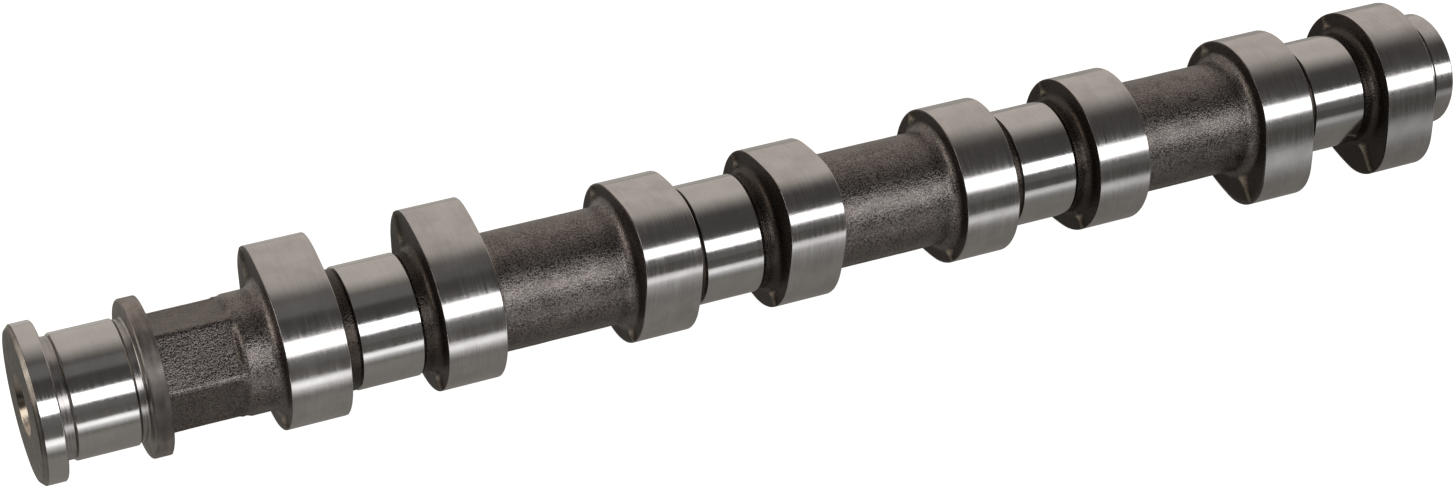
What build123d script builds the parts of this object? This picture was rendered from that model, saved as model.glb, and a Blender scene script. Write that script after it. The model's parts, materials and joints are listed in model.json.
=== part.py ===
from build123d import *
from math import cos, radians, sin, sqrt, tan
import os

# Camshaft of a small four-cylinder engine: one chilled-iron casting, ground on
# its journals and cam rims and left rough in between. The shaft axis is X. The
# origin is the centre of the drive face, which carries the timing wheel, and
# the tail points to +X. Sizes are in millimetres and degrees.

# Ground bearing journals: one behind the flange and one in each cylinder
journal_diameter = 28.0
journal_width = 14.3
front_journal_width = 14.2
journal_chamfer = 0.3
front_journal_chamfer = 0.45

# Cylinders, each with a pair of cams on both sides of its journal
cylinder_count = 4
cylinder_pitch = 81.6
firing_order = (1, 3, 4, 2)
first_nose_angle = 45.0
lobe_width = 13.6
lobe_gap = 3.8

# Cam outline: base circle, nose circle and the flank arcs that touch both
base_circle_diameter = 37.3
cam_lift = 4.25
nose_radius = 12.3
flank_radius = 63.0

# Rough cast shaft between the ground stretches
core_diameter = 27.2
open_side_fillet = 3.0
gap_side_fillet = 2.0

# Drive flange
flange_diameter = 35.3
flange_thickness = 5.4
flange_front_chamfer = 1.0
flange_rear_chamfer = 0.3

# Tapped hole for the wheel's bolt, its wide mouth the shaft's front centre
bolt_bore_diameter = 10.8
bolt_bore_depth = 26.0
bolt_mouth_diameter = 14.0
drill_point_angle = 118.0

# Grinding reliefs beside the front journal, and the thrust collar
relief_diameter = 27.0
relief_fillet = 0.5
flange_relief_width = 2.6
collar_relief_width = 1.8
collar_diameter = 35.3
collar_thickness = 3.9
collar_front_round = 0.6

# Hexagon that holds the shaft still while the wheel is set and bolted on
hexagon_across_flats = 23.0
hexagon_length = 17.5
hexagon_corner_radius = 1.0
neck_length = 8.0
neck_edge_round = 0.8

# Tail seat behind the last cam, and the centre hole there. The seats of both
# centres have the same angle, since the shaft is ground between them.
tail_seat_width = 5.3
centre_hole_diameter = 6.0
centre_angle = 60.0
centre_pilot_diameter = 2.5
centre_pilot_depth = 6.0

# Stations along the shaft
front_journal_start = flange_thickness + flange_relief_width
front_journal_end = front_journal_start + front_journal_width
collar_start = front_journal_end + collar_relief_width
collar_end = collar_start + collar_thickness
hexagon_end = collar_end + hexagon_length
first_lobe_start = hexagon_end + neck_length
cylinder_starts = [
    first_lobe_start + cylinder_pitch * index for index in range(cylinder_count)
]
journal_shift = lobe_width + lobe_gap
second_lobe_shift = journal_shift + journal_width + lobe_gap
tail_start = cylinder_starts[-1] + second_lobe_shift + lobe_width + lobe_gap
tail_end = tail_start + tail_seat_width

journal_radius = journal_diameter / 2
core_radius = core_diameter / 2
base_radius = base_circle_diameter / 2
flange_radius = flange_diameter / 2
relief_radius = relief_diameter / 2
collar_radius = collar_diameter / 2


# Direction in which both cam noses of a cylinder point, from +Y towards +Z
def nose_angle(cylinder):
    firing_step = 360.0 / cylinder_count
    return first_nose_angle - firing_step * firing_order.index(cylinder)


# Plane square to the shaft, its own x axis turned up from +Y by the angle
def cross_plane(station, angle):
    turned = (0, cos(radians(angle)), sin(radians(angle)))
    return Plane(origin=(station, 0, 0), x_dir=turned, z_dir=(1, 0, 0))


# Edges of the closed cam outline, with the nose on the sketch's own x axis.
# A flank's centre is where its arc touches the base circle and the nose circle.
def cam_outline():
    nose_centre = base_radius + cam_lift - nose_radius
    to_base = flank_radius - base_radius
    to_nose = flank_radius - nose_radius
    back = (to_nose**2 - nose_centre**2 - to_base**2) / (2 * nose_centre)
    aside = sqrt(to_base**2 - back**2)
    flank_start = Vector(back, aside).get_angle(Vector(1, 0))
    nose_end = Vector(nose_centre + back, aside).get_angle(Vector(1, 0))
    flank_turn = flank_start - nose_end
    with BuildLine() as outline:
        CenterArc((nose_centre, 0), nose_radius, -nose_end, 2 * nose_end)
        CenterArc((-back, -aside), flank_radius, nose_end, flank_turn)
        CenterArc((0, 0), base_radius, flank_start, 360 - 2 * flank_start)
        CenterArc((-back, aside), flank_radius, -flank_start, flank_turn)
    return outline.edges()


# Upper half of the shaft's long section, from the drive face to the tail
def shaft_section():
    hexagon_core = hexagon_across_flats / 2 - hexagon_corner_radius
    points = [
        (0, 0),
        (0, flange_radius),
        (flange_thickness, flange_radius),
        (flange_thickness, relief_radius),
        (front_journal_start, relief_radius),
        (front_journal_start, journal_radius),
        (front_journal_end, journal_radius),
        (front_journal_end, relief_radius),
        (collar_start, relief_radius),
        (collar_start, collar_radius),
        (collar_end, collar_radius),
        (collar_end, hexagon_core),
        (hexagon_end, hexagon_core),
        (hexagon_end, core_radius),
    ]
    for start in cylinder_starts:
        front = start + journal_shift
        rear = front + journal_width
        points += [
            (front, core_radius),
            (front, journal_radius),
            (rear, journal_radius),
            (rear, core_radius),
        ]
    points += [
        (tail_start, core_radius),
        (tail_start, journal_radius),
        (tail_end, journal_radius),
        (tail_end, 0),
    ]
    return points


# Half section of the tapped hole, with its centre seat and drill point
def bolt_hole_section():
    mouth = bolt_mouth_diameter / 2
    bore = bolt_bore_diameter / 2
    sink = (mouth - bore) / tan(radians(centre_angle / 2))
    point = bore / tan(radians(drill_point_angle / 2))
    return [
        (0, 0),
        (0, mouth),
        (sink, bore),
        (bolt_bore_depth, bore),
        (bolt_bore_depth + point, 0),
    ]


# Half section of the centre hole in the tail, seat cone first
def centre_hole_section():
    mouth = centre_hole_diameter / 2
    pilot = centre_pilot_diameter / 2
    cone = (mouth - pilot) / tan(radians(centre_angle / 2))
    point = pilot / tan(radians(drill_point_angle / 2))
    return [
        (tail_end, 0),
        (tail_end, mouth),
        (tail_end - cone, pilot),
        (tail_end - centre_pilot_depth, pilot),
        (tail_end - centre_pilot_depth - point, 0),
    ]


# Round edges of one radius that lie at any of the stations
def rings(radius, stations):
    return (
        camshaft.edges()
        .filter_by(GeomType.CIRCLE)
        .filter_by(lambda edge: abs(edge.radius - radius) < 1e-4)
        .filter_by(lambda edge: min(abs(edge.center().X - x) for x in stations) < 1e-4)
    )


# Cam faces on the long stretches of core, and those beside a journal or seat
second_lobe_starts = [start + second_lobe_shift for start in cylinder_starts]
second_lobe_ends = [start + lobe_width for start in second_lobe_starts]
open_faces = cylinder_starts + second_lobe_ends[:-1]
gap_faces = [start + lobe_width for start in cylinder_starts]
gap_faces += second_lobe_starts + second_lobe_ends[-1:]

# Ends of the ground seats behind the hexagon
seat_ends = [tail_start, tail_end]
seat_ends += [start + journal_shift for start in cylinder_starts]
seat_ends += [start + journal_shift + journal_width for start in cylinder_starts]

with BuildPart() as camshaft:
    # Flange, journals, collar and rough core in one turn about the axis
    with BuildSketch(Plane.XZ):
        with BuildLine():
            Polyline(*shaft_section(), close=True)
        make_face()
    revolve(axis=Axis.X)

    # Turned and ground edges
    fillet(rings(relief_radius, [flange_thickness, collar_start]), relief_fillet)
    chamfer(rings(flange_radius, [0]), flange_front_chamfer)
    chamfer(rings(flange_radius, [flange_thickness]), flange_rear_chamfer)
    fillet(rings(collar_radius, [collar_start]), collar_front_round)
    front_ends = [front_journal_start, front_journal_end]
    chamfer(rings(journal_radius, front_ends), front_journal_chamfer)
    chamfer(rings(journal_radius, seat_ends), journal_chamfer)
    fillet(rings(core_radius, [hexagon_end]), neck_edge_round)

    # Wrench hexagon behind the thrust collar, its end sunk in the neck's round
    with BuildSketch(cross_plane(collar_end, first_nose_angle)) as hexagon:
        RegularPolygon(hexagon_across_flats / 2, 6, major_radius=False)
        fillet(hexagon.vertices(), hexagon_corner_radius)
    extrude(amount=hexagon_length + neck_edge_round)

    # A pair of like cams for each cylinder, set by the firing order
    for cylinder, start in enumerate(cylinder_starts, start=1):
        for shift in (0, second_lobe_shift):
            with BuildSketch(cross_plane(start + shift, nose_angle(cylinder))):
                make_face(cam_outline())
            extrude(amount=lobe_width)

    # Cast fillets between the core and the cams' rough side faces
    fillet(rings(core_radius, open_faces), open_side_fillet)
    fillet(rings(core_radius, gap_faces), gap_side_fillet)

    # Tapped hole in the drive face and centre hole in the tail
    for section in (bolt_hole_section(), centre_hole_section()):
        with BuildSketch(Plane.XZ):
            with BuildLine():
                Polyline(*section, close=True)
            make_face()
        revolve(axis=Axis.X, mode=Mode.SUBTRACT)

camshaft.part.label = "camshaft"
os.makedirs("parts", exist_ok=True)
export_step(camshaft.part, "parts/camshaft.step")
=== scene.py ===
import bpy
import bmesh
import json
from math import atan2, cos, pi, radians, sin, tan
from mathutils import Matrix, Vector

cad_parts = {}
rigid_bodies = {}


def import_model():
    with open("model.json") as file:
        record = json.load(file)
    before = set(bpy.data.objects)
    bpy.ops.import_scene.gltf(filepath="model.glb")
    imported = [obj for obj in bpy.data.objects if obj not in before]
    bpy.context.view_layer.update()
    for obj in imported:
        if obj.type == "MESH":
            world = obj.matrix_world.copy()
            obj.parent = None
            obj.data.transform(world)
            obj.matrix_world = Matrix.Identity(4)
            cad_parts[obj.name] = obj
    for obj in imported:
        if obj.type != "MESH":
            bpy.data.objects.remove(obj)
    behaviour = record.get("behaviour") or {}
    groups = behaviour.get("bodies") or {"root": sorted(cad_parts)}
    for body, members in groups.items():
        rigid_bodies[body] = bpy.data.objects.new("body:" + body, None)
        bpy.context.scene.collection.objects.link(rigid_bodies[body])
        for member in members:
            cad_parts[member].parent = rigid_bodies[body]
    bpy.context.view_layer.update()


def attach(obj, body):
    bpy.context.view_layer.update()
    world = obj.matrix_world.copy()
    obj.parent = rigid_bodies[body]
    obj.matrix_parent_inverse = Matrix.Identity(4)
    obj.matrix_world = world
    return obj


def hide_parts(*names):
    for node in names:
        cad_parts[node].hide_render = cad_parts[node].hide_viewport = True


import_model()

mm = 0.001


def feed(tree, socket, value):  # links an output, or sets a plain value
    if isinstance(value, bpy.types.NodeSocket):
        tree.links.new(value, socket)
    elif value is not None:
        socket.default_value = value


def addNode(tree, kind, settings=None, **inputs):  # inputs by name, underscores for blanks
    node = tree.nodes.new(kind)
    for name, value in (settings or {}).items():
        setattr(node, name, value)
    for name, value in inputs.items():
        feed(tree, node.inputs[name.replace("_", " ")], value)
    return node


def calc(tree, operation, *values):
    node = tree.nodes.new("ShaderNodeMath")
    node.operation = operation
    for socket, value in zip(node.inputs, values):
        feed(tree, socket, value)
    return node.outputs[0]


def choose(tree, condition, whenFalse, whenTrue):  # condition is 0 or 1
    node = addNode(tree, "ShaderNodeMix", {"data_type": "FLOAT"})
    for socket, value in zip((node.inputs[0], node.inputs[2], node.inputs[3]),
                             (condition, whenFalse, whenTrue)):
        feed(tree, socket, value)
    return node.outputs[0]


def ramp(tree, value, fromLow, fromHigh, toLow=0.0, toHigh=1.0, smooth=True):
    node = tree.nodes.new("ShaderNodeMapRange")
    node.interpolation_type = "SMOOTHSTEP" if smooth else "LINEAR"
    for socket, number in zip(node.inputs, (value, fromLow, fromHigh, toLow, toHigh)):
        feed(tree, socket, number)
    return node.outputs[0]


def newTree(name, sizes):
    tree = bpy.data.node_groups.new(name, "GeometryNodeTree")
    face = tree.interface
    face.new_socket("Geometry", in_out="INPUT", socket_type="NodeSocketGeometry")
    for label, value in sizes.items():
        kind = "NodeSocketInt" if isinstance(value, int) else "NodeSocketFloat"
        face.new_socket(label, in_out="INPUT", socket_type=kind).default_value = value
    face.new_socket("Geometry", in_out="OUTPUT", socket_type="NodeSocketGeometry")
    tree.nodes.new("NodeGroupInput")
    tree.nodes.new("NodeGroupOutput")
    return tree


def runTree(piece, tree, sizes):  # sets the inputs by their identifiers, then makes it plain mesh
    modifier = piece.modifiers.new(tree.name, "NODES")
    modifier.node_group = tree
    for item in tree.interface.items_tree:
        if item.in_out == "INPUT" and item.name in sizes:
            modifier[item.identifier] = sizes[item.name]
    bpy.context.view_layer.update()
    shown = piece.evaluated_get(bpy.context.evaluated_depsgraph_get())
    made = bpy.data.meshes.new_from_object(shown)
    piece.modifiers.remove(modifier)
    return made


finishes = {  # marks in a millimetre, and how deep they, the peel and the chatter are in millimetres
    "ground": {"light": (0.60, 0.59, 0.585, 1), "dark": (0.54, 0.53, 0.525, 1), "rough": (0.10, 0.16),
               "marks": 4.0, "depth": 0.0008, "peel": 0.0024, "chatter": 0.006},
    "lapped": {"light": (0.59, 0.575, 0.57, 1), "dark": (0.49, 0.475, 0.47, 1), "rough": (0.14, 0.21),
               "marks": 3.0, "depth": 0.0008, "peel": 0.0024, "chatter": 0.006},
    "turned": {"light": (0.50, 0.48, 0.475, 1), "dark": (0.30, 0.285, 0.28, 1), "rough": (0.18, 0.28),
               "marks": 3.0, "depth": 0.005, "peel": 0.005, "chatter": 0.004},
    "scaled": {"light": (0.40, 0.365, 0.345, 1), "dark": (0.20, 0.178, 0.168, 1), "rough": (0.40, 0.55),
               "marks": 0.8, "depth": 0.006, "peel": 0.009, "chatter": 0.01,
               # painted shade: the collar's near underside is darkened, dimming its reflections
               "paintedUnderShade": {"share": 0.65, "angle": 167, "radius": 17.65, "from": (0.86, 0.97),
                         "colour": (0.03, 0.025, 0.022, 1)}},
    "bored": {"light": (0.60, 0.54, 0.47, 1), "dark": (0.40, 0.34, 0.28, 1), "rough": (0.13, 0.22),
              "marks": 2.0, "depth": 0.003, "peel": 0.009, "chatter": 0.0},
    "faced": {"light": (0.43, 0.40, 0.37, 1), "dark": (0.20, 0.183, 0.168, 1), "rough": (0.24, 0.42),
              "marks": 1.6, "depth": 0.014},
    "cast": {"light": (0.295, 0.264, 0.253, 1), "dark": (0.10, 0.087, 0.082, 1), "rough": (0.27, 0.40),
             # the first dark colour is painted shade in the gaps and on the cam sides, and the hexagon's
             # darker tone
             "soot": (0.05, 0.039, 0.032, 1), "sootShare": 0.85, "flash": (0.62, 0.54, 0.43, 1),
             "grain": 2.9, "grainDepth": 0.036, "pits": 1.0, "pitDepth": 0.065, "patches": 0.25},
}


def newMaterial(name):
    material = bpy.data.materials.new(name)
    material.use_nodes = True
    tree = material.node_tree
    tree.nodes.clear()
    output = tree.nodes.new("ShaderNodeOutputMaterial")
    shader = addNode(tree, "ShaderNodeBsdfPrincipled", None, Metallic=1.0)
    tree.links.new(shader.outputs[0], output.inputs["Surface"])
    return material, tree, shader


def objectMillimetres(tree, scale):  # object coordinates, scaled per millimetre
    where = tree.nodes.new("ShaderNodeTexCoord").outputs["Object"]
    scaled = [axis / mm for axis in scale]
    return addNode(tree, "ShaderNodeMapping", {"vector_type": "POINT"}, Vector=where, Scale=scaled).outputs[0]


def noise(tree, scale, detail=2.0, roughness=0.5):
    node = addNode(tree, "ShaderNodeTexNoise", None, Vector=objectMillimetres(tree, scale),
                   Scale=1.0, Detail=detail, Roughness=roughness)
    return node.outputs[0]


def blend(tree, share, low, high):
    node = addNode(tree, "ShaderNodeMix", {"data_type": "RGBA"})
    for socket, value in zip((node.inputs[0], node.inputs[6], node.inputs[7]), (share, low, high)):
        feed(tree, socket, value)
    return node.outputs[2]


def bump(tree, height, depth, below=None):  # depth in millimetres
    node = addNode(tree, "ShaderNodeBump", None, Height=height, Strength=1.0, Distance=depth * mm)
    if below is not None:
        tree.links.new(below, node.inputs["Normal"])
    return node.outputs[0]


def spreadOf(tree, first, second, firstShare, low, high):  # two noises mixed, then stretched
    mixed = calc(tree, "ADD", calc(tree, "MULTIPLY", first, firstShare),
                 calc(tree, "MULTIPLY", second, 1 - firstShare))
    return ramp(tree, mixed, low, high)


def withPaintedUnderShade(tree, colour, paintedUnderShade):  # painted shade: darker towards the near underside, dimming its reflections there
    part = addNode(tree, "ShaderNodeSeparateXYZ", None, Vector=objectMillimetres(tree, (1, 1, 1)))
    towards = radians(paintedUnderShade["angle"])
    side = calc(tree, "SUBTRACT", calc(tree, "MULTIPLY", part.outputs[1], cos(towards) / paintedUnderShade["radius"]),
                calc(tree, "MULTIPLY", part.outputs[2], -sin(towards) / paintedUnderShade["radius"]))
    share = calc(tree, "MULTIPLY", ramp(tree, side, *paintedUnderShade["from"]), paintedUnderShade["share"])
    return blend(tree, share, colour, paintedUnderShade["colour"])


def machinedMaterial(finish):
    material, tree, shader = newMaterial(finish + "Steel")
    values = finishes[finish]
    marks = noise(tree, (values["marks"], 0.12, 0.12), 3.0, 0.6)  # grinding marks run round the shaft
    cloud = noise(tree, (0.16, 0.16, 0.16), 3.0, 0.55)
    peel = noise(tree, (0.9, 1.4, 1.4), 2.0, 0.6)
    waves = noise(tree, (0.12, 1.1, 1.1), 2.0, 0.6)  # and the wheel's chatter along it
    colour = blend(tree, spreadOf(tree, marks, cloud, 0.4, 0.35, 0.65), values["dark"], values["light"])
    # painted shade on the collar's underside
    if "paintedUnderShade" in values:
        colour = withPaintedUnderShade(tree, colour, values["paintedUnderShade"])
    feed(tree, shader.inputs["Base Color"], colour)
    feed(tree, shader.inputs["Roughness"], ramp(tree, marks, 0.3, 0.7, *values["rough"]))
    below = bump(tree, peel, values["peel"], bump(tree, waves, values["chatter"]))
    feed(tree, shader.inputs["Normal"], bump(tree, marks, values["depth"], below))
    return material


def castMaterial():
    material, tree, shader = newMaterial("castSkin")
    values = finishes["cast"]
    grain = ramp(tree, noise(tree, (values["grain"],) * 3, 2.0, 0.5), 0.28, 0.72)
    pits = noise(tree, (values["pits"],) * 3, 1.0, 0.5)
    patch = noise(tree, (values["patches"],) * 3, 3.0, 0.6)
    skin = blend(tree, spreadOf(tree, grain, patch, 0.55, 0.25, 0.75), values["dark"], values["light"])
    # painted shade: darkens the gaps and the cam sides, and gives the hexagon its darker tone
    soot = addNode(tree, "ShaderNodeAttribute", {"attribute_name": "soot"}).outputs["Fac"]
    skin = blend(tree, calc(tree, "MULTIPLY", soot, values["sootShare"]), skin, values["soot"])
    # trimmed flash as bare metal, painted light as a highlight too
    flash = addNode(tree, "ShaderNodeAttribute", {"attribute_name": "flash"}).outputs["Fac"]
    feed(tree, shader.inputs["Base Color"], blend(tree, flash, skin, values["flash"]))
    feed(tree, shader.inputs["Roughness"], ramp(tree, grain, 0.3, 0.7, *values["rough"]))
    below = bump(tree, pits, values["pitDepth"])
    feed(tree, shader.inputs["Normal"], bump(tree, grain, values["grainDepth"], below))
    return material


def facedMaterial():  # tool marks lie in circles round the axis
    material, tree, shader = newMaterial("turnedFace")
    values = finishes["faced"]
    where = tree.nodes.new("ShaderNodeTexCoord").outputs["Object"]
    part = addNode(tree, "ShaderNodeSeparateXYZ", None, Vector=where)
    squares = [calc(tree, "MULTIPLY", side, side) for side in part.outputs[1:3]]
    radius = calc(tree, "SQRT", calc(tree, "ADD", *squares))
    marks = addNode(tree, "ShaderNodeTexNoise", {"noise_dimensions": "1D"},
                    W=calc(tree, "MULTIPLY", radius, values["marks"] / mm), Scale=1.0, Detail=3.0).outputs[0]
    cloud = noise(tree, (0.3, 0.3, 0.3), 3.0, 0.6)
    share = spreadOf(tree, marks, cloud, 0.5, 0.35, 0.65)
    feed(tree, shader.inputs["Base Color"], blend(tree, share, values["dark"], values["light"]))
    feed(tree, shader.inputs["Roughness"], ramp(tree, marks, 0.3, 0.7, *values["rough"]))
    feed(tree, shader.inputs["Normal"], bump(tree, marks, values["depth"]))
    return material


materials = {name: machinedMaterial(name) for name in ("ground", "lapped", "turned", "scaled", "bored")}
materials["face"] = facedMaterial()
materials["cast"] = castMaterial()
finishOrder = list(materials)  # the numbers that the rings carry
print("materials made:", ", ".join(sorted(materials)))

shaft = {  # millimetres and degrees, as the CAD has them
    "journalRadius": 14.0, "coreRadius": 13.6, "reliefRadius": 13.5, "wheelRadius": 17.65,
    "baseRadius": 18.65, "camLift": 4.25, "noseRadius": 12.3, "flankRadius": 63.0,
    "flangeEnd": 5.4, "frontJournal": (8.0, 22.2), "collar": (24.0, 27.9), "hexEnd": 44.6, "neckStart": 46.0,
    "pitch": 81.6, "firstLobe": 53.4, "lobeWidth": 13.6, "lobeGap": 3.8, "journalWidth": 14.3,
    "noseAngles": (45.0, 135.0, -45.0, -135.0), "openFillet": 3.0, "gapFillet": 2.0,
    "tailWidth": 5.3, "tailRunOut": 1.6, "tailCentre": (3.0, 1.25), "tailDepths": (3.03, 6.0, 6.75),
    "faceRing": 15.9,
    "hexFlats": 23.0, "hexCorner": 1.0, "hexAngle": 45.0, "partingAngle": 45.0,
}
casting = {  # millimetres and degrees: mesh steps, cast grain, the parting's ridge and flash, and where shade and highlight are painted
    "columns": 168, "castStep": 0.86, "faceStep": 0.45, "rimRound": 0.13, "hold": 0.12,
    "grainDepth": 0.07, "grainSize": 1.5, "grainSeed": 3.0,
    "swellDepth": 0.16, "swellSize": 7.0, "swellSeed": 11.0,
    "ridge": 0.18, "camRidge": 0.6, "seamFrom": 0.8, "seamTo": 5.0, "seamWander": 0.06, "seamSeed": 7.0,
    "camSeam": 0.4, "footSeam": 1.6, "footFrom": 0.9, "footOver": 1.4, "flashFade": (-5, 5, 1.0, 0.4),
    "camShadeFrom": 1.6, "camShadeOver": 1.2, "firstCamShade": 0.45,
    "hexFade": 1.5, "hexDarkening": 0.2, "topFlatExtraShade": 1.2, "topFlat": (0.866, 0.927),
}


def shaftPath():  # corners as (station, radius, round, finish of the stretch that follows)
    s = shaft
    core, journal, base, wheel = s["coreRadius"], s["journalRadius"], s["baseRadius"], s["wheelRadius"]
    relief, rim, flat = s["reliefRadius"], casting["rimRound"], s["hexFlats"] / 2
    flange, (front, back), (thrust, collar) = s["flangeEnd"], s["frontJournal"], s["collar"]
    path = [
        (0.0, s["faceRing"], 0, "face"), (0.0, wheel - 1.0, 0.15, "face"), (1.0, wheel, 0.2, "ground"),
        (flange - 0.3, wheel, 0.1, "turned"), (flange, wheel - 0.3, 0.1, "face"),
        (flange, relief, 0.5, "turned"), (front, relief, 0.06, "turned"),
        (front, journal - 0.42, 0.06, "ground"),
        (front + 0.5, journal, 0.5, "ground"), (back - 0.45, journal, 0.3, "ground"),
        (back, journal - 0.42, 0.06, "turned"), (back, relief, 0.06, "turned"),
        (thrust, relief, 0.5, "face"), (thrust, wheel, 0.6, "scaled"), (collar, wheel, 0.12, "cast"),
        (collar, flat, 0.5, "cast"), (s["hexEnd"], flat, 1.6, "cast"), (s["neckStart"], core, 1.4, "cast"),
    ]
    for cylinder in range(4):
        start = s["firstLobe"] + s["pitch"] * cylinder
        gap = start + s["lobeWidth"]
        seat = gap + s["lobeGap"]
        seatEnd = seat + s["journalWidth"]
        second = seatEnd + s["lobeGap"]
        end = second + s["lobeWidth"]
        path += [
            (start, core, s["openFillet"], "cast"), (start, base, rim, "lapped"),
            (gap, base, rim, "cast"), (gap, core, s["gapFillet"], "cast"),
            (seat, core, 0.05, "ground"), (seat, journal - 0.25, 0.05, "ground"),
            (seat + 0.25, journal, 0.08, "ground"), (seatEnd - 0.25, journal, 0.08, "ground"),
            (seatEnd, journal - 0.25, 0.05, "ground"), (seatEnd, core, 0.05, "cast"),
            (second, core, s["gapFillet"], "cast"), (second, base, rim, "lapped"), (end, base, rim, "cast"),
            (end, core, s["gapFillet" if cylinder == 3 else "openFillet"], "cast"),
        ]
    tail = end + s["lobeGap"]
    tip = tail + s["tailWidth"]
    (mouth, pilot), (cone, drilled, point) = s["tailCentre"], s["tailDepths"]
    path += [
        (tail - s["tailRunOut"], core, 0, "lapped"), (tail, core, 0.05, "lapped"),
        (tail, journal - 0.3, 0.06, "lapped"), (tail + 0.3, journal, 0.08, "lapped"),
        (tip - 0.3, journal, 0.08, "turned"), (tip, journal - 0.3, 0.08, "face"),
        (tip, mouth, 0.08, "turned"), (tip - cone, pilot, 0.05, "turned"),
        (tip - drilled, pilot, 0.05, "turned"), (tip - point, 0.0, 0, "turned"),
    ]
    return path


def roundCorner(before, corner, after, radius):  # the corner's arc as a list of points
    towards = (before - corner).normalized()
    onwards = (after - corner).normalized()
    half = towards.angle(onwards) / 2
    trim = min(radius / tan(half), 0.45 * (before - corner).length, 0.45 * (after - corner).length)
    radius = trim * tan(half)
    centre = corner + (towards + onwards).normalized() * radius / sin(half)
    first = corner + towards * trim - centre
    last = corner + onwards * trim - centre
    startAngle = atan2(first.y, first.x)
    turn = (atan2(last.y, last.x) - startAngle + pi) % (2 * pi) - pi
    if radius < 0.07:
        return [corner]
    steps = 1 if radius < 0.12 else 2 if radius < 0.3 else 4 if radius < 1.5 else 6
    angles = [startAngle + turn * step / steps for step in range(steps + 1)]
    return [centre + radius * Vector((cos(angle), sin(angle))) for angle in angles]


def shaftRows():  # every ring of the shaft as its point and the finish of the band that follows
    path = shaftPath()
    points = [Vector((station, radius)) for station, radius, _, _ in path]
    rings = []
    for index, (_, _, bend, finish) in enumerate(path):
        before = path[index - 1][3] if index else finish
        arc = [points[index]]
        if bend and 0 < index < len(path) - 1:
            arc = roundCorner(points[index - 1], points[index], points[index + 1], bend)
        for step, point in enumerate(arc):
            rings.append((point, before if step < len(arc) // 2 else finish))
    rows = []
    for (point, finish), (following, _) in zip(rings, rings[1:] + rings[-1:]):
        rows.append((point, finish))
        span = (following - point).length
        if finish == "cast":
            upright = abs(following.x - point.x) < 1e-6
            count = int(span / casting["faceStep" if upright else "castStep"])
            shares = [part / (count + 1) for part in range(1, count + 1)]
        else:  # holding rings beside the edges of a machined band
            shares = [casting["hold"] / span, 1 - casting["hold"] / span] if span > 1.0 else []
        rows += [(point.lerp(following, share), finish) for share in shares]
    return rows


def smooth(share):
    share = min(1.0, max(0.0, share))
    return share * share * (3 - 2 * share)


def camValues(radius, atFront, first, cylinder):  # a ring on a cam's side or rim
    s, c = shaft, casting
    wide = atFront == first and (first or cylinder < 3)
    foot = s["coreRadius"] + (s["openFillet"] if wide else s["gapFillet"])
    top = s["baseRadius"] - c["rimRound"]
    values = {"camShare": min(1, max(0, (radius - foot) / (top - foot)))}
    if radius < top:
        # painted shade on the cam sides: full in the gaps, from the fillet up on the open sides
        soot = smooth((radius - foot + c["camShadeFrom"]) / c["camShadeOver"]) if wide else 1.0
        if cylinder == 0 and first and atFront:
            soot *= c["firstCamShade"]
        atFoot = smooth((foot + c["footFrom"] - radius) / c["footOver"])
        values.update(ridge=c["camRidge"] * mm, flash=1.0, soot=soot,
                      seamWidth=c["camSeam"] + c["footSeam"] * atFoot)
    return values


def rowValues(point, finish, previousFinish):
    s = shaft
    station, radius = point
    wheel, (_, collar) = s["wheelRadius"], s["collar"]
    values = {"station": station * mm, "radius": radius * mm, "camShare": 0.0, "hexShare": 0.0,
              "noseAngle": 0.0, "castShare": 1.0 if finish == previousFinish == "cast" else 0.0,
              "ridge": casting["ridge"] * mm, "seamWidth": 1.0, "flash": 0.0, "soot": 0.0}
    if station < s["neckStart"] + 4 and station > collar - 0.1:
        if station < collar + 0.1:  # down the collar's rear face
            hexagon = min(1, max(0, (wheel - radius) / 4))
        else:
            hexagon = 1 - smooth((station - s["hexEnd"] + 0.1) / casting["hexFade"])
        # the hexagon's darker tone, kept in the same attribute as the painted shade
        values.update(hexShare=hexagon, soot=casting["hexDarkening"] * hexagon)
    cylinder = int((station - s["firstLobe"] + 0.01) // s["pitch"])
    if 0 <= cylinder <= 3:
        values["noseAngle"] = radians(s["noseAngles"][cylinder])
        along = (station - s["firstLobe"]) % s["pitch"]
        secondAt = 2 * s["lobeGap"] + s["lobeWidth"] + s["journalWidth"]
        lobes = [0.0, secondAt] + ([s["pitch"]] if along > s["pitch"] - 0.1 else [])
        for number, at in enumerate(lobes):
            if -0.01 <= along - at <= s["lobeWidth"] + 0.01:
                atFront = along - at < s["lobeWidth"] / 2
                values.update(camValues(radius, atFront, number == 0, cylinder))
        gaps = (s["lobeWidth"], secondAt - s["lobeGap"])
        # painted shade in the gaps between the cams and the journals
        if any(0 <= along - at <= s["lobeGap"] + 0.02 for at in gaps):
            values["soot"] = 1.0
    return values


def profileObject():  # one vertex for each ring, its values as attributes
    rows = shaftRows()
    mesh = bpy.data.meshes.new("shaftProfile")
    mesh.from_pydata([(point.x * mm, point.y * mm, 0) for point, _ in rows],
                     [(index, index + 1) for index in range(len(rows) - 1)], [])
    table = []
    for index, (point, finish) in enumerate(rows):
        table.append(rowValues(point, finish, rows[index - 1][1] if index else finish))
    for name in table[0]:
        layer = mesh.attributes.new(name, "FLOAT", "POINT")
        layer.data.foreach_set("value", [row[name] for row in table])
    layer = mesh.attributes.new("finish", "INT", "POINT")
    layer.data.foreach_set("value", [finishOrder.index(finish) for _, finish in rows])
    print("shaft rings:", len(rows), "triangles about", 2 * casting["columns"] * len(rows))
    return bpy.data.objects.new("shaftProfile", mesh)


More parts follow.
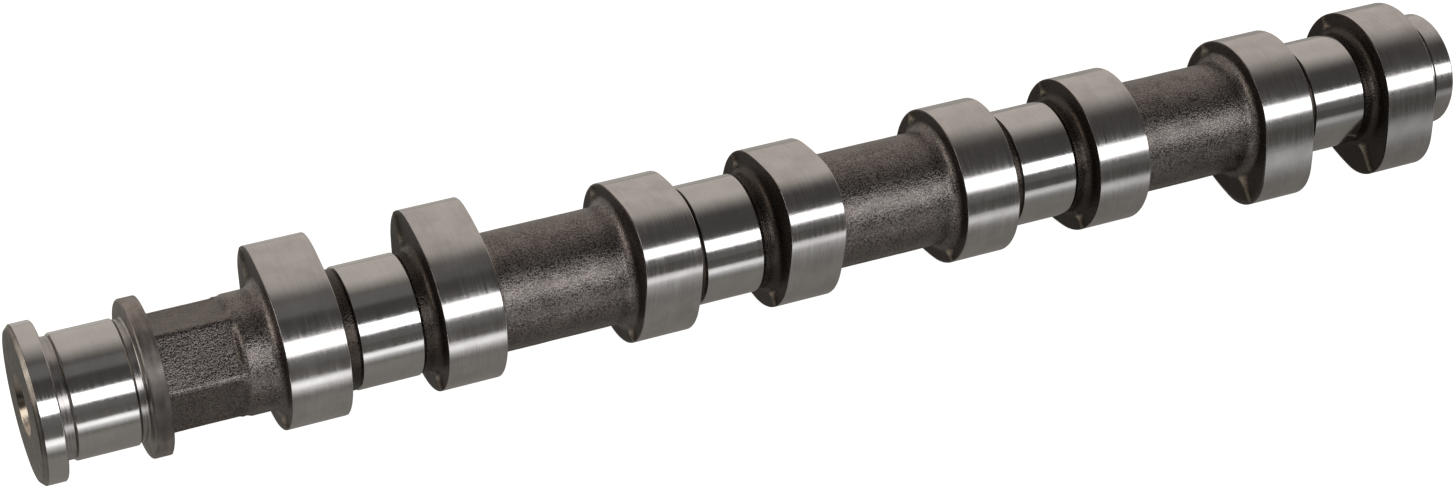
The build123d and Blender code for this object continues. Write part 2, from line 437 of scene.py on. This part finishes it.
def camRadiusSockets(tree, sizes, angle, noseAngle):  # cam outline as arcs that touch, in polar form
    names = ("Base Radius", "Cam Lift", "Nose Radius", "Flank Radius")
    base, lift, nose, flank = (sizes[name] for name in names)
    math = lambda operation, *values: calc(tree, operation, *values)
    square = lambda value: math("MULTIPLY", value, value)
    noseCentre = math("SUBTRACT", math("ADD", base, lift), nose)
    toBase, toNose = math("SUBTRACT", flank, base), math("SUBTRACT", flank, nose)
    back = math("SUBTRACT", math("SUBTRACT", square(toNose), square(noseCentre)), square(toBase))
    back = math("DIVIDE", back, math("MULTIPLY", noseCentre, 2.0))
    aside = math("SQRT", math("SUBTRACT", square(toBase), square(back)))
    flankFrom = math("ARCTAN2", aside, back)  # where the flank leaves the base circle
    noseEnd = math("ARCTAN2", aside, math("ADD", noseCentre, back))
    noseTo = math("ARCTAN2", math("MULTIPLY", nose, math("SINE", noseEnd)),
                  math("ADD", noseCentre, math("MULTIPLY", nose, math("COSINE", noseEnd))))
    away = math("COSINE", math("SUBTRACT", angle, noseAngle))
    away = math("ARCCOSINE", math("MINIMUM", 1.0, math("MAXIMUM", -1.0, away)))

    def arc(distance, turned, arcRadius):
        side = math("MULTIPLY", distance, math("SINE", turned))
        return math("ADD", math("MULTIPLY", distance, math("COSINE", turned)),
                    math("SQRT", math("SUBTRACT", square(arcRadius), square(side))))

    onNose = arc(noseCentre, away, nose)
    flankAngle = math("ARCTAN2", math("MULTIPLY", aside, -1.0), math("MULTIPLY", back, -1.0))
    onFlank = arc(toBase, math("SUBTRACT", away, flankAngle), flank)
    beyondNose = choose(tree, math("GREATER_THAN", away, noseTo), onNose, onFlank)
    return choose(tree, math("GREATER_THAN", away, flankFrom), beyondNose, base)


def hexRadiusSockets(tree, sizes, angle):  # flats with rounded corners, in polar form
    flats, corner, turned = sizes["Hexagon Flats"], sizes["Hexagon Corner"], sizes["Hexagon Angle"]
    math = lambda operation, *values: calc(tree, operation, *values)
    sixth = pi / 3
    local = math("WRAP", math("SUBTRACT", angle, turned), sixth / 2, -sixth / 2)  # 0 on a corner
    half = math("MULTIPLY", flats, 0.5)
    onFlat = math("DIVIDE", half, math("COSINE", math("SUBTRACT", sixth / 2, math("ABSOLUTE", local))))
    centre = math("DIVIDE", math("SUBTRACT", half, corner), cos(sixth / 2))
    side = math("MULTIPLY", centre, math("SINE", local))
    inside = math("SUBTRACT", math("MULTIPLY", corner, corner), math("MULTIPLY", side, side))
    inside = math("MAXIMUM", inside, 0.0)
    onCorner = math("ADD", math("MULTIPLY", centre, math("COSINE", local)), math("SQRT", inside))
    spread = math("MULTIPLY", onCorner, math("SINE", math("ABSOLUTE", local)))
    near = math("LESS_THAN", spread, math("MULTIPLY", corner, 0.5))
    return choose(tree, near, onFlat, onCorner)


def roundPlace(tree, station, radius, angle):
    y = calc(tree, "MULTIPLY", radius, calc(tree, "COSINE", angle))
    z = calc(tree, "MULTIPLY", radius, calc(tree, "SINE", angle))
    return addNode(tree, "ShaderNodeCombineXYZ", None, X=station, Y=y, Z=z).outputs[0]


weld = 0.002  # millimetres, closer vertices become one


def welded(tree, geometry):
    node = addNode(tree, "GeometryNodeMergeByDistance", None, Geometry=geometry, Distance=weld * mm)
    return node.outputs[0]


def shaftTree():
    s, c = shaft, casting
    tree = newTree("castShaft", {
        "Columns": c["columns"], "Base Radius": s["baseRadius"] * mm, "Cam Lift": s["camLift"] * mm,
        "Nose Radius": s["noseRadius"] * mm, "Flank Radius": s["flankRadius"] * mm,
        "Hexagon Flats": s["hexFlats"] * mm, "Hexagon Corner": s["hexCorner"] * mm,
        "Hexagon Angle": radians(s["hexAngle"]), "Parting Angle": radians(s["partingAngle"]),
        "Grain Depth": c["grainDepth"] * mm, "Grain Size": c["grainSize"] * mm,
        "Swell Depth": c["swellDepth"] * mm, "Swell Size": c["swellSize"] * mm,
        "Seam From": radians(c["seamFrom"]), "Seam To": radians(c["seamTo"]), "Seam Wander": c["seamWander"],
    })
    given = tree.nodes["Group Input"]
    sizes = {socket.name: socket for socket in given.outputs if socket.name}
    profile = sizes["Geometry"]
    math = lambda operation, *values: calc(tree, operation, *values)

    count = addNode(tree, "GeometryNodeAttributeDomainSize", None, Geometry=profile).outputs["Point Count"]
    across = math("ADD", sizes["Columns"], 1.0)
    grid = addNode(tree, "GeometryNodeMeshGrid", None, Vertices_X=count, Vertices_Y=across).outputs["Mesh"]
    index = tree.nodes.new("GeometryNodeInputIndex").outputs[0]
    row = math("FLOOR", math("DIVIDE", math("ADD", index, 0.5), across))
    column = math("SUBTRACT", index, math("MULTIPLY", row, across))
    angle = math("MULTIPLY", math("DIVIDE", column, sizes["Columns"]), -2 * pi)

    def read(name, kind="FLOAT"):
        return addNode(tree, "GeometryNodeInputNamedAttribute", {"data_type": kind}, Name=name).outputs[0]

    def fromRow(name, rowIndex, kind="FLOAT"):
        sample = addNode(tree, "GeometryNodeSampleIndex", {"data_type": kind, "domain": "POINT"},
                         Geometry=profile, Value=read(name, kind), Index=rowIndex)
        return sample.outputs[0]

    camOffset = math("MULTIPLY", fromRow("camShare", row), math(
        "SUBTRACT", camRadiusSockets(tree, sizes, angle, fromRow("noseAngle", row)), sizes["Base Radius"]))
    hexOffset = math("MULTIPLY", fromRow("hexShare", row), math(
        "SUBTRACT", hexRadiusSockets(tree, sizes, angle), math("MULTIPLY", sizes["Hexagon Flats"], 0.5)))
    radius = math("ADD", fromRow("radius", row), math("ADD", camOffset, hexOffset))
    place = roundPlace(tree, fromRow("station", row), radius, angle)
    geometry = addNode(tree, "GeometryNodeSetPosition", None, Geometry=grid, Position=place).outputs[0]

    def store(geometry, name, value, kind="FLOAT", domain="POINT"):
        return addNode(tree, "GeometryNodeStoreNamedAttribute", {"data_type": kind, "domain": domain},
                       Geometry=geometry, Name=name, Value=value).outputs[0]

    for name in ("castShare", "ridge", "seamWidth", "flash"):
        geometry = store(geometry, name, fromRow(name, row))
    upper = math("COSINE", math("SUBTRACT", angle, math("ADD", sizes["Hexagon Angle"], pi / 6)))
    topFlatShade = ramp(tree, upper, *c["topFlat"], 1.0, 1 + c["topFlatExtraShade"])  # painted shade: the flat that lies upwards is darker
    geometry = store(geometry, "soot", math("MINIMUM", 1.0, math("MULTIPLY", fromRow("soot", row), topFlatShade)))
    bandRow = math("FLOOR", math("DIVIDE", math("ADD", index, 0.5), sizes["Columns"]))
    geometry = store(geometry, "finish", fromRow("finish", bandRow, "INT"), "INT", "FACE")
    geometry = welded(tree, geometry)

    position = tree.nodes.new("GeometryNodeInputPosition").outputs[0]

    def lumps(size, seed):
        node = addNode(tree, "ShaderNodeTexNoise", {"noise_dimensions": "4D"}, Vector=position, W=seed,
                       Scale=math("DIVIDE", 1.0, size), Detail=1.0, Roughness=0.5)
        return math("SUBTRACT", node.outputs[0], 0.5)

    part = addNode(tree, "ShaderNodeSeparateXYZ", None, Vector=position)
    turned = math("SUBTRACT", math("ARCTAN2", part.outputs[2], part.outputs[1]), sizes["Parting Angle"])
    fromParting = math("ABSOLUTE", math("WRAP", turned, pi / 2, -pi / 2))  # both halves of the mould
    wander = math("MULTIPLY", lumps(sizes["Swell Size"], c["seamSeed"]), sizes["Seam Wander"])
    fromSeam = math("DIVIDE", math("ADD", fromParting, wander), read("seamWidth"))
    seam = ramp(tree, fromSeam, sizes["Seam From"], sizes["Seam To"], 1.0, 0.0)
    grain = math("MULTIPLY", lumps(sizes["Grain Size"], c["grainSeed"]), sizes["Grain Depth"])
    swell = math("MULTIPLY", lumps(sizes["Swell Size"], c["swellSeed"]), sizes["Swell Depth"])
    height = math("ADD", grain, swell)
    height = math("ADD", height, math("MULTIPLY", seam, read("ridge")))
    height = math("MULTIPLY", height, read("castShare"))
    # painted highlight: the flash is lighter on the lower side, fading towards the top
    low, high, below, above = c["flashFade"]
    trimmedAndLit = math("MULTIPLY", seam, ramp(tree, part.outputs[2], low * mm, high * mm, below, above))
    geometry = store(geometry, "flash", math("MULTIPLY", read("flash"), trimmedAndLit))  # bare metal where the flash was trimmed, painted lighter as a highlight, brightest on the lower side
    offset = addNode(tree, "ShaderNodeVectorMath", {"operation": "SCALE"}, Scale=height)
    tree.links.new(tree.nodes.new("GeometryNodeInputNormal").outputs[0], offset.inputs[0])
    offset = offset.outputs[0]
    geometry = addNode(tree, "GeometryNodeSetPosition", None, Geometry=geometry, Offset=offset).outputs[0]
    geometry = addNode(tree, "GeometryNodeSetShadeSmooth", None, Geometry=geometry).outputs[0]
    geometry = addNode(tree, "GeometryNodeRealizeInstances", None, Geometry=geometry).outputs[0]
    finishIs = read("finish", "INT")
    for number, name in enumerate(finishOrder):
        chosen = addNode(tree, "FunctionNodeCompare", {"data_type": "INT", "operation": "EQUAL"})
        tree.links.new(finishIs, chosen.inputs[2])
        chosen.inputs[3].default_value = number
        geometry = addNode(tree, "GeometryNodeSetMaterial", None, Geometry=geometry,
                           Selection=chosen.outputs[0], Material=materials[name]).outputs[0]
    tree.links.new(geometry, tree.nodes["Group Output"].inputs[0])
    return tree


holes = {  # millimetres and degrees
    "mouthRadius": 7.0, "seatDepth": 2.77, "boreRadius": 5.4, "boreDepth": 26.0, "pointDepth": 3.24,
    "threadPitch": 1.25, "threadDepth": 0.6, "threadTo": 22.77, "threadFade": 1.2,
    "threadRows": 6, "threadColumns": 48, "hold": 0.12,
}


def threadTree():  # screw-shaped wall: each turn of rows ends where the next one starts
    h = holes
    turns = (h["threadTo"] - h["seatDepth"]) / h["threadPitch"]
    tree = newTree("boltThread", {
        "Columns": h["threadColumns"], "Rows Per Turn": h["threadRows"], "Turns": turns,
        "Bore Radius": h["boreRadius"] * mm, "Thread Depth": h["threadDepth"] * mm,
        "Pitch": h["threadPitch"] * mm, "Start": h["seatDepth"] * mm, "Fade": h["threadFade"] * mm,
    })
    given = tree.nodes["Group Input"]
    sizes = {socket.name: socket for socket in given.outputs if socket.name}
    math = lambda operation, *values: calc(tree, operation, *values)
    rows = math("ADD", math("MULTIPLY", math("ADD", sizes["Turns"], 1.0), sizes["Rows Per Turn"]), 1.0)
    across = math("ADD", sizes["Columns"], 1.0)
    grid = addNode(tree, "GeometryNodeMeshGrid", None, Vertices_X=rows, Vertices_Y=across).outputs["Mesh"]
    index = tree.nodes.new("GeometryNodeInputIndex").outputs[0]
    row = math("FLOOR", math("DIVIDE", math("ADD", index, 0.5), across))
    column = math("SUBTRACT", index, math("MULTIPLY", row, across))
    share = math("DIVIDE", column, sizes["Columns"])
    turn = math("SUBTRACT", math("ADD", math("DIVIDE", row, sizes["Rows Per Turn"]), share), 1.0)
    turn = math("MINIMUM", math("MAXIMUM", turn, 0.0), sizes["Turns"])
    along = math("MULTIPLY", turn, sizes["Pitch"])
    rest = math("SUBTRACT", math("MULTIPLY", sizes["Turns"], sizes["Pitch"]), along)
    fade = ramp(tree, math("MINIMUM", along, rest), 0.0, sizes["Fade"])
    phase = math("DIVIDE", row, sizes["Rows Per Turn"])
    tooth = math("MULTIPLY", math("PINGPONG", phase, 0.5), 2.0)
    tooth = math("MULTIPLY", math("MULTIPLY", tooth, fade), sizes["Thread Depth"])
    radius = math("ADD", sizes["Bore Radius"], tooth)
    angle = math("MULTIPLY", share, 2 * pi)
    place = roundPlace(tree, math("ADD", sizes["Start"], along), radius, angle)
    geometry = addNode(tree, "GeometryNodeSetPosition", None, Geometry=grid, Position=place).outputs[0]
    geometry = welded(tree, geometry)
    geometry = addNode(tree, "GeometryNodeRealizeInstances", None, Geometry=geometry).outputs[0]
    geometry = addNode(tree, "GeometryNodeSetMaterial", None, Geometry=geometry,
                       Material=materials["turned"]).outputs[0]
    tree.links.new(geometry, tree.nodes["Group Output"].inputs[0])
    return tree


def ringOf(mesh, station, radius, columns):
    return [mesh.verts.new((station * mm, radius * cos(angle) * mm, radius * sin(angle) * mm))
            for angle in (2 * pi * step / columns for step in range(columns))]


def joinRings(mesh, rings, finish):
    for first, second in zip(rings, rings[1:]):
        for step in range(len(first)):
            face = mesh.faces.new((first[step], second[step], second[step - 1], first[step - 1]))
            face.material_index = finish


def loopEdges(mesh, ring):
    return [mesh.edges.get((ring[step], ring[step - 1])) or mesh.edges.new((ring[step], ring[step - 1]))
            for step in range(len(ring))]


def makeCamshaft():
    h = holes
    profile = profileObject()
    bpy.context.scene.collection.objects.link(profile)
    body = runTree(profile, shaftTree(), {"Grain Depth": casting["grainDepth"] * mm})
    bpy.data.objects.remove(profile)
    print("shaft body:", len(body.polygons), "faces")

    blank = bpy.data.objects.new("threadBlank", bpy.data.meshes.new("threadBlank"))
    bpy.context.scene.collection.objects.link(blank)
    thread = runTree(blank, threadTree(), {"Pitch": h["threadPitch"] * mm})
    bpy.data.objects.remove(blank)

    named = [materials[name] for name in finishOrder]
    renumber = [named.index(material) if material in named else 0 for material in body.materials]
    numbers = [renumber[polygon.material_index] for polygon in body.polygons]
    body.materials.clear()
    for material in named:
        body.materials.append(material)
    body.polygons.foreach_set("material_index", numbers)
    turned, face = finishOrder.index("turned"), finishOrder.index("face")
    mesh = bmesh.new()
    mesh.from_mesh(body)
    known = len(mesh.faces)
    mesh.from_mesh(thread)
    mesh.faces.ensure_lookup_table()
    for polygon in mesh.faces[known:]:
        polygon.material_index = turned

    columns = h["threadColumns"]
    hold = h["hold"]
    lean = (h["mouthRadius"] - h["boreRadius"]) / h["seatDepth"] * hold
    mouth = [(0, h["mouthRadius"] + hold), (0, h["mouthRadius"]), (hold, h["mouthRadius"] - lean),
             (h["seatDepth"] - hold, h["boreRadius"] + lean), (h["seatDepth"], h["boreRadius"])]
    mouthRings = [ringOf(mesh, x, r, columns) for x, r in mouth]
    joinRings(mesh, mouthRings, finishOrder.index("bored"))
    bottom = [(h["threadTo"], h["boreRadius"]), (h["boreDepth"] - hold, h["boreRadius"]),
              (h["boreDepth"], h["boreRadius"]), (h["boreDepth"] + h["pointDepth"], 0.0)]
    joinRings(mesh, [ringOf(mesh, x, r, columns) for x, r in bottom], turned)
    outer = ringOf(mesh, 0, shaft["faceRing"], casting["columns"])
    edges = loopEdges(mesh, outer) + loopEdges(mesh, mouthRings[0])
    filled = bmesh.ops.triangle_fill(mesh, use_beauty=True, use_dissolve=False, edges=edges)
    for polygon in filled["geom"]:
        if isinstance(polygon, bmesh.types.BMFace):
            polygon.material_index = face

    bmesh.ops.remove_doubles(mesh, verts=mesh.verts, dist=weld * mm)
    bmesh.ops.dissolve_degenerate(mesh, edges=mesh.edges, dist=weld / 4 * mm)
    bmesh.ops.recalc_face_normals(mesh, faces=mesh.faces)
    for polygon in mesh.faces:
        polygon.smooth = True
    loose = sum(1 for edge in mesh.edges if len(edge.link_faces) != 2)
    volume = mesh.calc_volume(signed=True)
    triangles = sum(len(polygon.verts) - 2 for polygon in mesh.faces)
    mesh.to_mesh(body)
    mesh.free()
    body.name = "camshaftBody"
    piece = bpy.data.objects.new("camshaftBody", body)
    bpy.context.scene.collection.objects.link(piece)
    print("camshaft:", triangles, "triangles, open edges", loose, "volume", round(volume * 1e9), "mm3")
    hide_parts("camshaft")
    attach(piece, "root")


makeCamshaft()

paper = {  # millimetres: the floor, white to the camera and shaded as the polished steel sees it, with painted shadow beside and before the shaft and a painted glowing band
    "height": -19.795, "size": 12000.0, "colour": (0.80, 0.80, 0.79, 1), "glow": 0.87,
    "tint": (1.0, 0.945, 0.87, 1), "span": (-120, 120),
    "shade": [(-120, 0.15), (-42, 0.17), (-30, 0.33), (0, 0.36), (45, 0.34), (75, 0.5), (120, 0.60)],
    "shadeAlong": (20, 340, 1.0, 0.65), "shadeBefore": (-40, -10, 0.3, 1.0),
    "strip": [(-120, 0), (-103, 0), (-94, 0.24), (-82, 0.82), (-68, 1.0), (-57, 0.62), (-49, 0.30),
              (-42, 0.10), (-36, 0), (120, 0)],
    "stripLevel": 1.6, "stripSlant": 0.03, "slantFrom": 40,
    "stripAlong": (60, 370, 1.0, 0.22), "stripBefore": (-60, -5, 0.0, 1.0),
}


def paperCurve(tree, points, value):  # a level for each place beside the shaft
    near, far = paper["span"]
    curve = tree.nodes.new("ShaderNodeFloatCurve")
    line = curve.mapping.curves[0]
    for number, (beside, level) in enumerate(points):
        spot = ((beside - near) / (far - near), level)
        if number < 2:
            line.points[number].location = spot
        else:
            line.points.new(*spot)
    curve.mapping.update()
    feed(tree, curve.inputs["Value"], value)
    return curve.outputs[0]


def makeFloor():
    size, height = paper["size"] * mm / 2, paper["height"] * mm
    mesh = bpy.data.meshes.new("paperFloor")
    corners = [(x * size, y * size, height) for x, y in ((-1, -1), (1, -1), (1, 1), (-1, 1))]
    mesh.from_pydata(corners, [], [(0, 1, 2, 3)])
    floor = bpy.data.objects.new("paperFloor", mesh)
    bpy.context.scene.collection.objects.link(floor)
    material = bpy.data.materials.new("palePaper")
    material.use_nodes = True
    tree = material.node_tree
    tree.nodes.clear()
    math = lambda operation, *values: calc(tree, operation, *values)
    where = tree.nodes.new("ShaderNodeTexCoord").outputs["Object"]
    along, beside = addNode(tree, "ShaderNodeSeparateXYZ", None, Vector=where).outputs[:2]
    near, far = (edge * mm for edge in paper["span"])

    def faded(level, name, smooth):
        low, high, before, after = paper[name]
        return math("MULTIPLY", level, ramp(tree, along, low * mm, high * mm, before, after, smooth))

    # painted shadow: as the steel sees it, the floor is dimmer beside and before the shaft
    plain = paperCurve(tree, paper["shade"], ramp(tree, beside, near, far, smooth=False))
    plain = faded(faded(plain, "shadeAlong", False), "shadeBefore", True)
    # painted reflection: a glowing band on the floor, no lamp, seen only by the steel
    slant = math("MULTIPLY", math("SUBTRACT", along, paper["slantFrom"] * mm), paper["stripSlant"])
    slanted = ramp(tree, math("SUBTRACT", beside, slant), near, far, smooth=False)
    strip = math("MULTIPLY", paperCurve(tree, paper["strip"], slanted), paper["stripLevel"])
    glossy = math("ADD", plain, faded(faded(strip, "stripAlong", False), "stripBefore", True))

    # the camera sees the white floor with its shadow; glossy and transmission rays see only the painted shade
    # and band
    ray = tree.nodes.new("ShaderNodeLightPath")
    shiny = math("MAXIMUM", ray.outputs["Is Glossy Ray"], ray.outputs["Is Transmission Ray"])
    strength = math("ADD", math("MULTIPLY", ray.outputs["Is Camera Ray"], paper["glow"]),
                    math("MULTIPLY", shiny, glossy))
    matte = addNode(tree, "ShaderNodeBsdfDiffuse", None,
                    Color=blend(tree, math("SUBTRACT", 1.0, shiny), (0, 0, 0, 1), paper["colour"]))
    tint = math("DIVIDE", math("MULTIPLY", shiny, plain), math("ADD", glossy, 0.001))
    glow = addNode(tree, "ShaderNodeEmission", None, Color=blend(tree, tint, (1, 1, 1, 1), paper["tint"]),
                   Strength=strength)
    total = tree.nodes.new("ShaderNodeAddShader")
    tree.links.new(matte.outputs[0], total.inputs[0])
    tree.links.new(glow.outputs[0], total.inputs[1])
    output = tree.nodes.new("ShaderNodeOutputMaterial")
    tree.links.new(total.outputs[0], output.inputs["Surface"])
    mesh.materials.append(material)


room = {  # angles in degrees round the shaft, from level behind it over the top
    "warm": (0.64, 0.585, 0.535, 1), "dim": (0.075, 0.070, 0.067, 1), "turnsDim": (46, 90), "lean": 26,
    "lift": 0.11, "overhead": 100, "overheadHalf": (6, 16), "overheadAlong": (0.22, 0.32),
    "lowLift": 0.7, "low": (158, 172),
}


def makeWorld():
    world = bpy.data.worlds.new("studioRoom")
    bpy.context.scene.world = world
    world.use_nodes = True
    tree = world.node_tree
    tree.nodes.clear()
    math = lambda operation, *values: calc(tree, operation, *values)
    direction = tree.nodes.new("ShaderNodeTexCoord").outputs["Generated"]
    along, beside, up = addNode(tree, "ShaderNodeSeparateXYZ", None, Vector=direction).outputs
    angle = math("ARCTAN2", math("MAXIMUM", up, 0.0), beside)
    leaned = math("SUBTRACT", angle, math("MULTIPLY", along, radians(room["lean"])))
    colour = blend(tree, ramp(tree, leaned, *map(radians, room["turnsDim"])), room["warm"], room["dim"])
    fromTop = math("ABSOLUTE", math("SUBTRACT", angle, radians(room["overhead"])))
    overhead = math("MULTIPLY", ramp(tree, fromTop, *map(radians, room["overheadHalf"]), 1.0, 0.0),
                    ramp(tree, along, *room["overheadAlong"], 1.0, 0.0))
    low = math("MULTIPLY", ramp(tree, angle, *map(radians, room["low"])), room["lowLift"])
    lift = math("MULTIPLY", math("ADD", overhead, low), room["lift"])
    lifted = addNode(tree, "ShaderNodeVectorMath", {"operation": "ADD"})
    tree.links.new(colour, lifted.inputs[0])
    tree.links.new(lift, lifted.inputs[1])
    walls = addNode(tree, "ShaderNodeBackground", None, Color=lifted.outputs[0], Strength=1.0)
    output = tree.nodes.new("ShaderNodeOutputWorld")
    tree.links.new(walls.outputs[0], output.inputs["Surface"])


def makeSoftbox(name, place, towards, size, radiance, colour, roll=0.0):
    lamp = bpy.data.lights.new(name, "AREA")
    lamp.shape = "RECTANGLE"
    lamp.size, lamp.size_y = size
    lamp.energy = radiance * pi * lamp.size * lamp.size_y
    lamp.color = colour
    box = bpy.data.objects.new(name, lamp)
    bpy.context.scene.collection.objects.link(box)
    back = (place - towards).normalized()  # the lamp shines along its own -Z
    side = Vector((0, 0, 1)).cross(back).normalized()
    turn = Matrix((side, back.cross(side), back)).transposed().to_4x4()
    box.matrix_world = Matrix.Translation(place) @ turn @ Matrix.Rotation(radians(roll), 4, "Z")


lamps = {  # metres and degrees: a long box over the near side and a small warm one off the drive end
    "stripAngle": 152.45, "stripAway": 1.0, "stripAlong": 0.45, "stripSize": (1.7, 0.345),
    "stripRadiance": 3.0, "stripRoll": -3.2, "stripColour": (1, 1, 1),
    "endPlace": (-0.88, 0.02, 0.45), "endSize": (0.8, 0.5), "endRadiance": 1.9, "endColour": (1, 0.93, 0.84),
}


def makeLamps():
    angle, away = radians(lamps["stripAngle"]), lamps["stripAway"]
    place = Vector((lamps["stripAlong"], away * cos(angle), away * sin(angle)))
    makeSoftbox("stripBox", place, Vector((lamps["stripAlong"], 0, 0)), lamps["stripSize"],
                lamps["stripRadiance"], lamps["stripColour"], lamps["stripRoll"])
    makeSoftbox("endBox", Vector(lamps["endPlace"]), Vector((0, 0, 0)), lamps["endSize"],
                lamps["endRadiance"], lamps["endColour"])


shot = {  # millimetres and degrees: the photograph's camera, worked out from the round edges
    "distance": 633.4, "along": -71.73, "yaw": 20.339, "pitch": -0.148, "roll": -13.613,
    "height": 38.5, "lens": 72.48, "sensor": 36.0,
}


def makeCamera():
    lens = bpy.data.cameras.new("photoCamera")
    lens.sensor_width = shot["sensor"]
    lens.lens = shot["lens"]
    lens.clip_start, lens.clip_end = 0.01, 20.0
    camera = bpy.data.objects.new("photoCamera", lens)
    bpy.context.scene.collection.objects.link(camera)
    yaw, pitch, roll = (radians(shot[name]) for name in ("yaw", "pitch", "roll"))
    ahead = Vector((sin(yaw) * cos(pitch), cos(yaw) * cos(pitch), sin(pitch)))
    right = Vector((cos(yaw), -sin(yaw), 0))
    up = right.cross(ahead)
    across = right * cos(roll) + up * sin(roll)
    upright = up * cos(roll) - right * sin(roll)
    turn = Matrix((across, upright, -ahead)).transposed().to_4x4()
    place = Matrix.Translation(Vector((shot["along"], -shot["distance"], 0)) * mm)
    camera.matrix_world = Matrix.Rotation(radians(-shot["height"]), 4, "X") @ place @ turn
    bpy.context.scene.camera = camera


makeFloor()
makeWorld()
makeLamps()
makeCamera()
bpy.context.scene.view_settings.view_transform = "Standard"
print("stage, lamps and camera set")
